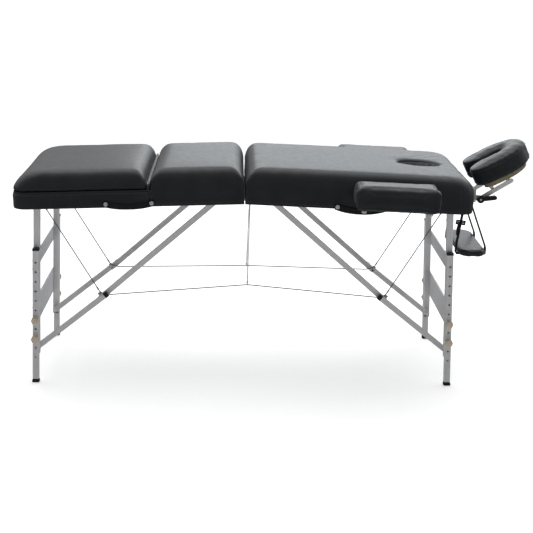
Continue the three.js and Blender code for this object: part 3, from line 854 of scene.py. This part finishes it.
def frame_wrap():
    """The vinyl band round the rail under the backrest, with a rolled top edge."""
    round_end = tongue(WRAP_START, HALF_LENGTH, HALF_WIDTH, CORNER)[:18]
    plan = [(WRAP_START, -HALF_WIDTH), *round_end, (WRAP_START, HALF_WIDTH)]
    line = dense([Vector((x, y, 0)) for x, y in plan], 0.012)
    section = [(0.0010, 0.0), (0.0003, 0.003), (0.0, 0.010), (0.0004, 0.030), (0.0, 0.048),
               (0.0006, 0.055), (0.0020, 0.059), (0.0036, 0.0598), (0.0040, 0.056), (0.0040, 0.002)]
    rings = []
    for i, point in enumerate(line):
        along = direction_at(line, i)
        inward = Vector((-along.y, along.x, 0))
        swell = 0.0008 * noise.noise(point * 14 + Vector((3, 1, 4)))
        rings.append([point + inward * (inset + swell * (inset < 0.003)) + Vector((0, 0, height))
                      for inset, height in section])
    wrap = loft("frame_wrap", rings, VINYL)
    place(wrap, HALF["left"], "left_half", ["frame_wrap_left"])


def backrest_flap():
    """The strip of vinyl that the backrest hinges on, across the table between the two cushions."""
    start = MIDDLE_END - 0.001
    section = ((start, FLAP_LOW), (BACKREST_START, FLAP_LOW), (BACKREST_START, FLAP_TOP),
               ((MIDDLE_END + BACKREST_START) / 2, FLAP_TOP - 0.008), (start, FLAP_TOP))
    count = 60
    rings = []
    for k in range(count + 1):
        y = (2 * k / count - 1) * (HALF_WIDTH - 0.003)
        sag = 0.0008 * math.sin(k * 1.7)
        rings.append([Vector((s, y, h - sag)) for s, h in section])
    flap = loft("backrest_flap", rings, VINYL)
    place(flap, HALF["left"], "left_half")


def finish_arm_pads():
    for row, pad in arm_pads.items():
        sign = ROWS[row]
        displace(pad, lambda p, n: n * uneven(p, 0.0010, 22, 0.0004, 60, 11)[:, None])
        subdivide(pad)
        place(pad, HALF["right"], f"armrest_{row}", [f"armrest_{row}"])
        seams = []
        for x, inwards in ((ARM_START + 0.016, 1), (ARM_END - 0.016, -1)):
            loop = [Vector((x, sign * y, height))
                    for y, height in ((0.36, 0.131), (0.48, 0.131), (0.505, 0.110), (0.505, 0.035))]
            points = [HALF["right"] @ p for p in dense(loop, 0.004)]
            seams.append(piping("seam", pad, points, 0.0009, closed=False))
            inner = [HALF["right"] @ (p + Vector((inwards * 0.004, 0, 0))) for p in loop]
            seams.append(stitches("row", pad, inner))
        place(join_pieces(f"armrest_seams_{row}", seams), STILL, f"armrest_{row}")


def u_outline(half_width, slot_half, start, end, slot_end, steps=14):
    """The headrest's plan: a round outer end and a slot open towards the table."""
    tip = (half_width - slot_half) / 2
    return (arc(max(end - half_width, start + tip), 0, half_width, -90, 90, steps)
            + arc(start + tip, half_width - tip, tip, 90, 270, steps)
            + arc(slot_end - slot_half, 0, slot_half, 90, -90, steps)
            + arc(start + tip, -half_width + tip, tip, 90, 270, steps))


def headrest_folds(points):
    """Uneven stuffing, and folds where the U is narrow."""
    folds = np.sin(points[:, 0] * 130 + 40 * points[:, 1]) * smoothstep(points[:, 0], 0.02, 0.08)
    middle = 1 - smoothstep(np.abs(points[:, 1]), 0.06, 0.1)
    return uneven(points, 0.0011, 24, 0.0005, 60, 21) + 0.0009 * folds * middle


def finish_headrest():
    displace(head_pad, lambda p, n: n * headrest_folds(p)[:, None])
    subdivide(head_pad)
    place(head_pad, HEADREST, "headrest", ["headrest_cushion"])
    plan = u_outline(0.156, 0.025, -0.006, 0.284, 0.160)
    seams = []
    for level in (0.070, 0.120):
        loop = dense([Vector((x, y, level)) for x, y in plan + plan[:1]], 0.006)[:-1]
        seams.append(piping("seam", head_pad, [HEADREST @ p for p in loop], 0.0011))
    place(join_pieces("headrest_piping", seams), STILL, "headrest")


def finish_shelf():
    displace(shelf_pad, lambda p, n: n * uneven(p, 0.0007, 22, 0.0004, 60, 31)[:, None])
    subdivide(shelf_pad)
    place(shelf_pad, STILL, "arm_shelf", ["arm_shelf"])
    inset = Vector((SHELF_CORNER, SHELF_CORNER, 0))
    low, high = SHELF_LOW + inset, SHELF_HIGH - inset
    plan = []
    for x, y, first in ((high.x, high.y, 0), (low.x, high.y, 90), (low.x, low.y, 180), (high.x, low.y, 270)):
        plan += arc(x, y, SHELF_CORNER + 0.004, first, first + 90, 12)
    rim = [Vector((x, y, (low.z + high.z) / 2)) for x, y in plan]
    edge = piping("arm_shelf_piping", shelf_pad, dense(rim + rim[:1], 0.008)[:-1], 0.0019)
    place(edge, STILL, "arm_shelf")


finish_table_pads()
face_liner()
frame_wrap()
backrest_flap()
finish_arm_pads()
finish_headrest()
finish_shelf()
corner_seams("seams_right", right_pad, "right", "right_half", 0.006)
corner_seams("seams_backrest", back_pad, "left", "backrest", 0.076)


# ---------- small hardware
def screw(name, at, direction, body):
    """A pan screw with a small recess, sitting in a cup washer."""
    r = 0.0085
    cup = turned("cup", [(r, 0), (r, 0.0012), (r * 0.86, 0.0026), (r * 0.62, 0.0022)], PLATED, count=32)
    head = turned("head", [(r * 0.58, 0.0018), (r * 0.58, 0.0034), (r * 0.42, 0.0046),
                           (r * 0.16, 0.0051), (r * 0.1, 0.0036)], BRASS, count=32)
    return place(join_pieces(name, [cup, head]), face_along(direction, at), body)


def bolt(name, at, direction, body, radius=0.0065, height=0.004):
    """A hexagon head on a washer."""
    rim = [(radius * 1.35, 0), (radius * 1.35, 0.0009), (radius * 1.25, 0.0012)]
    washer = turned("washer", rim, CHROME, count=32)
    hexagon = [(radius, 0.0012), (radius, height * 0.8), (radius * 0.86, height)]
    head = turned("head", hexagon, PLATED, count=6)
    shade(head.data, False)
    return place(join_pieces(name, [washer, head]), face_along(direction, at), body)


KNOB_PROFILE = ((0.56, 0), (0.58, 0.30), (0.66, 0.38), (0.93, 0.42), (1, 0.50), (1, 0.80), (0.93, 0.90),
                (0.80, 0.96), (0.50, 0.985), (0.42, 0.95), (0.36, 0.95), (0.30, 0.99), (0.12, 1))


def lobed_knob(name, at, direction, body, radius, depth, node):
    """A scalloped clamp knob with a domed face and a collar."""
    profile = [(radius * share, depth * level) for share, level in KNOB_PROFILE]
    shell = turned(name, profile, KNOB, lobes=8, depth=0.10, count=96)
    return place(shell, face_along(direction, at), body, [node])


def bevelled_box(name, low, high, material):
    made = box_object(name, low, high, bevel=0.0012)
    made.data.materials.append(material)
    shade(made.data, True)
    return made


BOOT_PROFILE = ((0.90, 0.0), (1.0, 0.10), (1.0, 0.24), (0.93, 0.30), (0.93, 0.38), (1.0, 0.44),
                (1.0, 0.56), (0.93, 0.62), (0.91, 0.86), (0.88, 0.97), (0.84, 1.0))


def rubber_boot(name, low, high, body, node):
    """A foot that flares to a ribbed tread."""
    centre = (low + high) / 2
    half = (high.x - low.x) / 2
    height = high.z - low.z
    rings = []
    for share, level in BOOT_PROFILE:
        plan = tongue(-half * share, half * share, half * share, 0.005, 0.005, 4)
        rings.append([Vector((centre.x + x, centre.y + y, low.z + level * height)) for x, y in plan])
    return place(loft(name, rings, RUBBER), STILL, body, [node])


PLATES = ((0.275, 0.018), (0.495, 0.036))   # distance down the leg, half spread of the rivets
KNOB_RADIUS = 0.017
PEG_RADIUS = 0.0098
PEG_DEPTH = 0.016


def leg_caps(side, row):
    """A collar round the telescopic tube's top and a plug in the upper tube's end."""
    key = f"{side}_{row}"
    sign = SIDES[side] * ROWS[row]
    half = TUBE / 2
    y = sign * EXTENSION_Y
    low_y, high_y = sorted((y + math.copysign(half + 0.0012, y), y - math.copysign(half - 0.0006, y)))
    cap = bevelled_box(f"extension_cap_{key}", (-half - 0.0012, low_y, -EXTENSION_START - 0.005),
                       (half + 0.0012, high_y, -EXTENSION_START + 0.004), CAP)
    place(cap, LEG[side], f"extension_{key}")
    upper_y = sign * UPPER_Y
    plug = bevelled_box(f"leg_plug_{key}", (-half, upper_y - half, -UPPER_END - 0.005),
                        (half, upper_y + half, -UPPER_END - 0.0001), CAP)
    place(plug, LEG[side], f"leg_{side}")


def leg_knobs(side, row):
    for i in (1, 2):
        key = f"{side}_{row}_{i}"
        low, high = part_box(f"leg_knob_{key}")
        middle = (low + high) / 2
        start = Vector((middle.x, low.y if row == "far" else high.y, middle.z))
        lobed_knob(f"clamp_knob_{key}", start, (0, ROWS[row], 0), f"knob_{key}", KNOB_RADIUS,
                   high.y - low.y, f"leg_knob_{key}")


def plate_rivets(side, row):
    y = SIDES[side] * ROWS[row] * (UPPER_Y - 0.004)
    direction = LEG[side].to_3x3() @ Vector((1, 0, 0))
    for down, spread in PLATES:
        for tag, step in (("a", -1), ("b", 1)):
            at = LEG[side] @ Vector((TUBE / 2 + 0.005, y, -down + step * spread))
            name = f"plate_rivet_{side}_{row}_{int(down * 1000)}_{tag}"
            bolt(name, at, direction, f"leg_{side}", 0.004, 0.0025)


def dress_leg(side, row):
    leg_caps(side, row)
    foot = f"foot_{side}_{row}"
    rubber_boot(f"boot_{side}_{row}", *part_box(foot), f"extension_{side}_{row}", foot)
    leg_knobs(side, row)
    plate_rivets(side, row)


def eyelet(name, centre, radius, thickness, material, across=False, points=20, sides=8):
    """A small upright ring of wire, along the table or, with across, across it."""
    loop = [centre + (Vector((0, a, b)) if across else Vector((a, 0, b)))
            for a, b in circle_section(radius, points)]
    return tube(name, loop, thickness, material, sides, closed=True)


CLIP = Vector((0.598, 0, 0.362))
EYE = Vector((0.597, 0, 0.365))
STRUT_FOOT = Vector((LEG_TOP_X + STRUT_FOOT_DOWN * math.sin(SPLAY), 0,
                     LEG_TOP_Z - STRUT_FOOT_DOWN * math.cos(SPLAY)))
ALONG_STRUT = (ELBOW - STRUT_FOOT).normalized()
STRUT_SLOPE = Matrix.Rotation(math.atan2(ALONG_STRUT.z, -ALONG_STRUT.x), 4, "Y")


def dress_struts(side, row):
    """A black plug, a pivot bolt and a cable eyelet at the elbow."""
    turn = TURN[side]
    key = f"{side}_{row}"
    inward = ROWS[row] * SIDES[side]
    y = inward * LOWER_STRUT_Y
    plug = bevelled_box(f"strut_plug_{key}", (-0.0115, y - 0.0081, -0.0116), (0.004, y + 0.0081, 0.0116), CAP)
    plug.data.transform(Matrix.Translation(ELBOW + ALONG_STRUT * 0.026) @ STRUT_SLOPE)
    place(plug, turn, f"lower_strut_{key}")
    y = inward * (UPPER_STRUT_Y - STRUT_HALF)
    pivot = turn @ Vector((ELBOW.x, y, ELBOW.z))
    bolt(f"strut_bolt_{key}", pivot, turn.to_3x3() @ Vector((0, -inward, 0)), f"upper_strut_{key}")
    y -= inward * 0.001
    clip = bevelled_box("clip", (-0.007, y - 0.0012, -0.004), (0.007, y + 0.0012, 0.009), PLATED)
    clip.data.transform(Matrix.Translation(CLIP) @ STRUT_SLOPE)
    eye = eyelet("ring", EYE + Vector((0, inward * (CABLE_Y + 0.001), 0)), 0.0045, 0.0012, CHROME)
    place(join_pieces(f"cable_clip_{key}", [clip, eye]), turn, f"upper_strut_{key}")


def armrest_peg(key):
    """A small knob under the armrest, pointing down."""
    node = f"armrest_knob_{key}"
    low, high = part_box(node)
    down = HALF["right"].to_3x3() @ Vector((0, 0, -1))
    top = (low + high) / 2 - down * PEG_DEPTH / 2
    lobed_knob(f"armrest_peg_{key}", top, down, node, PEG_RADIUS, PEG_DEPTH, node)


for side_name in SIDES:
    for row_name in ROWS:
        dress_leg(side_name, row_name)
        dress_struts(side_name, row_name)
for row_name in ROWS:
    for index in (1, 2):
        armrest_peg(f"{row_name}_{index}")


# ---------- cables and cord
CABLE_TOP = (0.822, 0.739)
CABLE_ELBOW = (0.598, 0.367)
CABLE_LOW = (0.566, 0.357)
CORD_X = 0.016
CABLE_CENTRE_Z = {"near": 0.407, "far": 0.369}

WIRE_RADIUS = 0.0021


def bend_with_fold(piece, node):
    """Moves the piece by the fold's offset, hides its CAD node and bakes the move into the mesh."""
    piece.data.transform(FOLD)
    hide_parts(node)
    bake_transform(piece)


def cable_point(sign, row, place_xz):
    return Vector((sign * place_xz[0], ROWS[row] * CABLE_Y, place_xz[1]))


def cord_knot(row):
    return cable_point(1, row, (CORD_X, CABLE_CENTRE_Z[row]))


def steel_cable(row):
    """From under one end over both elbows to the other end, with crimped sleeves and end eyes."""
    places = (CABLE_TOP, CABLE_ELBOW, CABLE_LOW)
    left = [cable_point(-1, row, at) for at in places]
    right = [cable_point(1, row, at) for at in reversed(places)]
    line = dense(rounded_path([*left, cord_knot(row), *right], 0.012), 0.02)
    parts = [tube("wire", line, WIRE_RADIUS, STEEL, 8)]
    for sign in (-1, 1):
        top, elbow = cable_point(sign, row, CABLE_TOP), cable_point(sign, row, CABLE_ELBOW)
        for start, end in ((top, elbow), (elbow, top)):
            along = (end - start).normalized()
            parts.append(tube("sleeve", [start + along * 0.012, start + along * 0.026], 0.0030, CHROME, 10))
        parts.append(eyelet("eye", top, 0.006, 0.0014, STEEL))
    bend_with_fold(join_pieces(f"steel_cable_{row}", parts), f"cable_{row}")


def pale_cord():
    """Two strands from the fold to each cable, knotted round it."""
    apex = Vector((CORD_X + 0.010, 0, HINGE_HEIGHT - 0.011))
    parts = []
    for row, sign in ROWS.items():
        knot = cord_knot(row)
        for shift in (-0.0022, 0.0022):
            offset = Vector((shift, 0, 0))
            line = dense([apex + offset, knot + offset * 0.6 + Vector((0, -sign * 0.004, 0.002))], 0.02)
            parts.append(tube("strand", line, 0.0012, CORD, 7))
        parts.append(eyelet("loop", knot, 0.0045, 0.0013, CORD, across=True, points=16, sides=7))
        ends = [knot + Vector((0, -sign * y, z)) for y, z in ((0.004, 0.005), (0.0065, 0.013))]
        parts.append(tube("knot", ends, 0.0036, CORD, 10))
    bend_with_fold(join_pieces("pale_cord", parts), "centre_cord")


for row_name in ROWS:
    steel_cable(row_name)
pale_cord()


# ---------- handles and shelf slings
HANDLE_FROM = 0.372
HANDLE_TO = 0.555
HANDLE_HALF = 0.012
HANDLE_RIBS = 4
HANDLE_SEAT = 0.0042


def carry_handle(side, screw_height, sag):
    """A ribbed strap that droops between two cup screws."""
    near = -SIDES[side]
    half = (HANDLE_TO - HANDLE_FROM) / 2
    middle = (HANDLE_TO + HANDLE_FROM) / 2
    section = []
    steps = HANDLE_RIBS * 8
    for k in range(steps + 1):
        share = k / steps
        rib = abs(math.sin(math.pi * HANDLE_RIBS * share)) * (0.25 + 0.75 * math.sin(math.pi * share))
        section.append((HANDLE_HALF * (2 * share - 1), 0.0026 + 0.0011 * rib))
    section += [(HANDLE_HALF, 0.0006), (-HANDLE_HALF, 0.0006)]
    rings = []
    for k in range(49):
        u = 2 * k / 48 - 1
        s = middle + u * (half + 0.011)
        height = screw_height - sag * (1 - u * u)
        pinch = 1 - 0.12 * (1 - abs(u)) ** 2
        face = HALF_WIDTH + 0.0003 + 0.0012 * (1 - u * u)
        rings.append([Vector((s, near * (face + out), height + across * pinch)) for across, out in section])
    strap = loft(f"handle_strap_{side}", rings, STRAP)
    place(strap, HALF[side], f"{side}_half", [f"carry_handle_{side}"])
    for tag, s in (("a", HANDLE_FROM), ("b", HANDLE_TO)):
        at = HALF[side] @ Vector((s, near * (HALF_WIDTH + HANDLE_SEAT), screw_height - 0.001))
        screw(f"handle_screw_{side}_{tag}", at, (0, -1, 0), f"{side}_half")


carry_handle("left", 0.016, 0.014)
carry_handle("right", 0.010, 0.017)

SLING_INNER = HALF["right"] @ Vector((0.927, 0, -0.007))
SLING_OUTER = HALF["right"] @ Vector((0.936, 0, 0.048))
STRAP_HALF = 0.016
STRAP_THIN = 0.0021


def ladder_buckle(middle, along):
    """Three bars between two rails, across the webbing."""
    matrix = face_along(along, middle)
    reach = STRAP_HALF + 0.002
    parts = []
    for z in (-0.007, 0.0, 0.007):
        parts.append(tube("bar", [matrix @ Vector((0, y, z)) for y in (-reach, reach)], 0.0032, CAP, 10))
    for y in (-reach, reach):
        parts.append(tube("rail", [matrix @ Vector((0, y, z)) for z in (-0.009, 0.009)], 0.0030, CAP, 10))
    return parts


def shelf_sling(row):
    """Webbing from under the table's end round the shelf, with a ladder buckle on the inner run."""
    low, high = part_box(f"shelf_strap_{row}")
    y = (low.y + high.y) / 2
    edge = STRAP_THIN + 0.0002
    inner_x, outer_x = SHELF_LOW.x - edge, SHELF_HIGH.x + edge
    top, bottom = SHELF_HIGH.z + 0.003, SHELF_LOW.z - 0.003
    corners = [Vector((x, y, z)) for x, z in (
        (SLING_INNER.x, SLING_INNER.z), (inner_x, top), (inner_x, bottom), (outer_x, bottom), (outer_x, top),
        (SLING_OUTER.x, SLING_OUTER.z))]
    path = dense(rounded_path(corners, 0.006), 0.012)
    half, thin = STRAP_HALF, STRAP_THIN
    section = [(-half, 0), (-half * 0.96, thin), (-half * 0.5, thin * 1.15), (0, thin),
               (half * 0.5, thin * 1.15), (half * 0.96, thin), (half, 0), (half * 0.96, -thin),
               (0, -thin), (-half * 0.96, -thin)]
    ribbon = sweep("ribbon", path, section, STRAP)
    along = (corners[1] - corners[0]).normalized()
    buckle = corners[0].lerp(corners[1], 0.42)
    tail_path = [buckle + along * down + Vector((-out, 0, 0))
                 for down, out in ((0, 0.004), (0.03, 0.007), (0.055, 0.006))]
    tail = sweep("tail", tail_path, section, STRAP)
    joined = join_pieces(f"sling_{row}", [ribbon, tail, *ladder_buckle(buckle, along)])
    place(joined, STILL, "arm_shelf", [f"shelf_strap_{row}"])


for row_name in ROWS:
    shelf_sling(row_name)


# ---------- headrest hardware
def lever_bolt():
    """The headrest's pivot bolt in its cup washer, on the near side."""
    at = FOLD @ (HEAD_PIVOT + Vector((0, -0.110, 0)))
    cup = turned("cup", [(0.0070, 0), (0.0070, 0.0010), (0.0062, 0.0014)], PLATED, count=40)
    head = turned("head", [(0.0048, 0.001), (0.0048, 0.0032), (0.0040, 0.0040)], PLATED, count=6)
    place(join_pieces("lever_bolt", [cup, head]), face_along((0, -1, 0), at), "cam_lever")


lever_bolt()


# ---------- finishes of the CAD pieces that stay
def dress(node, material, width, segments):
    """A finish and softened edges; the piece keeps its place and size."""
    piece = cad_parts[node]
    piece.data.materials.clear()
    piece.data.materials.append(material)
    modifier(piece, "WELD", merge_threshold=1e-5)
    modifier(piece, "BEVEL", width=width, segments=segments, limit_method="ANGLE",
             angle_limit=math.radians(38), harden_normals=False)
    shade(piece.data, False)


FINISHES = {
    "leg_frame": (ALLOY, 0.0012), "leg_extension": (ALLOY, 0.0012), "leg_axle": (CROSS_ALLOY, 0.0008),
    "lower_strut": (STRUT_ALLOY, 0.0012), "upper_strut": (STRUT_ALLOY, 0.0012),
    "armrest_bracket": (CROSS_ALLOY, 0.0006), "headrest_base": (CROSS_ALLOY, 0.0010),
    "headrest_bracket": (STRUT_ALLOY, 0.0010), "headrest_platform": (KHAKI, 0.0020),
    "headrest_cam_lever": (LEVER, 0.0030), "hinge_leaf": (PLATED, 0.0005),
    "frame_left": (STAINED, 0.0015), "frame_right": (STAINED, 0.0015), "deck": (FELT_PAINTED_SHADE, 0.0010),
    "back_board": (FELT_PAINTED_SHADE, 0.0010),
}
for node_name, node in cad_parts.items():
    if node.hide_render:
        continue
    for start, (finish, edge_width) in FINISHES.items():
        if node_name.startswith(start):
            dress(node_name, finish, edge_width, 3 if finish is LEVER else 2)


# ---------- floor, light and camera
FLOOR_REACH = 90
FLOOR_GLOW = 0.5
WORLD_FLOOR_GLOW = 0.10
CAMERA_LENS = 80.4
CAMERA_PLACE = Vector((-0.032, -4.502, 1.697))
CAMERA_BACK = 0.51
CAMERA_ANGLES = [math.radians(degrees) for degrees in (1.70, 15.76, 1.09)]   # yaw, pitch, roll


def pale_floor():
    m = Shader("floor", roughness=0.9, specular=0.1)
    m.colour(m.mix(m.noise(3, 2), (0.86, 0.86, 0.86), (0.89, 0.89, 0.89)))
    m.shader.inputs["Emission Color"].default_value = (1, 1, 1, 1)
    m.shader.inputs["Emission Strength"].default_value = FLOOR_GLOW
    corners = [(x * FLOOR_REACH, y * FLOOR_REACH, 0) for x, y in ((-1, -1), (1, -1), (1, 1), (-1, 1))]
    floor = mesh_object("floor", corners, [(0, 1, 2, 3)], m.material)
    floor.location.z = -0.0005
    floor.visible_glossy = False


def soft_world():
    """White for the camera; for the object, bright overhead and behind and dimmer in front and below."""
    world = bpy.data.worlds.new("studio")
    bpy.context.scene.world = world
    nodes = Nodes(world)
    background = nodes.tree.nodes["Background"]
    split = nodes.node("ShaderNodeSeparateXYZ")
    nodes.feed(split.inputs[0], nodes.node("ShaderNodeTexCoord").outputs["Generated"])
    up = nodes.map_range(split.outputs["Z"], -0.15, 0.55, 0.0, 1.0, interpolation_type="SMOOTHSTEP")
    back = nodes.map_range(split.outputs["Y"], -0.35, 0.55, 0.12, 1.0, interpolation_type="SMOOTHSTEP")
    glow = nodes.node("ShaderNodeMath", operation="MULTIPLY_ADD")
    for socket, value in zip(glow.inputs, (up, back, WORLD_FLOOR_GLOW)):
        nodes.feed(socket, value)
    mix = nodes.node("ShaderNodeMix")
    camera_ray = nodes.node("ShaderNodeLightPath").outputs["Is Camera Ray"]
    for key, value in (("Factor", camera_ray), ("A", glow.outputs[0]), ("B", 1.0)):
        nodes.feed(mix.inputs[key], value)
    nodes.feed(background.inputs["Strength"], mix.outputs["Result"])
    background.inputs["Color"].default_value = (1, 1, 1, 1)


def softbox(name, at, target, size, power, colour=(1, 1, 1)):
    light = bpy.data.lights.new(name, "AREA")
    light.color = colour
    light.shape = "RECTANGLE"
    light.size, light.size_y = size
    light.energy = power
    lamp = new_object(name, light)
    lamp.location = at
    lamp.rotation_euler = (Vector(target) - Vector(at)).to_track_quat("-Z", "Y").to_euler()
    lamp.visible_camera = False


def photo_camera():
    data = bpy.data.cameras.new("camera")
    data.sensor_width = 36
    data.lens = CAMERA_LENS
    data.clip_end = 300
    camera = new_object("camera", data)
    yaw, pitch, roll = CAMERA_ANGLES
    ahead = Vector((math.sin(yaw) * math.cos(pitch), math.cos(yaw) * math.cos(pitch), -math.sin(pitch)))
    right = Vector((math.cos(yaw), -math.sin(yaw), 0))
    up = right.cross(ahead)
    turned_right = right * math.cos(roll) + up * math.sin(roll)
    turned_up = up * math.cos(roll) - right * math.sin(roll)
    matrix = Matrix((turned_right, turned_up, -ahead)).transposed().to_4x4()
    matrix.translation = FOLD @ CAMERA_PLACE - ahead * CAMERA_BACK
    camera.matrix_world = matrix
    bpy.context.scene.camera = camera


pale_floor()
soft_world()
softbox("overhead", (0, 0.5, 4.0), (0, 0, 0.6), (5.0, 3.0), 60)
softbox("back", (1.4, 3.6, 2.0), (0, 0, 0.85), (5.0, 1.4), 42, (0.90, 0.96, 1.0))
photo_camera()
bpy.context.scene.view_settings.view_transform = "Standard"
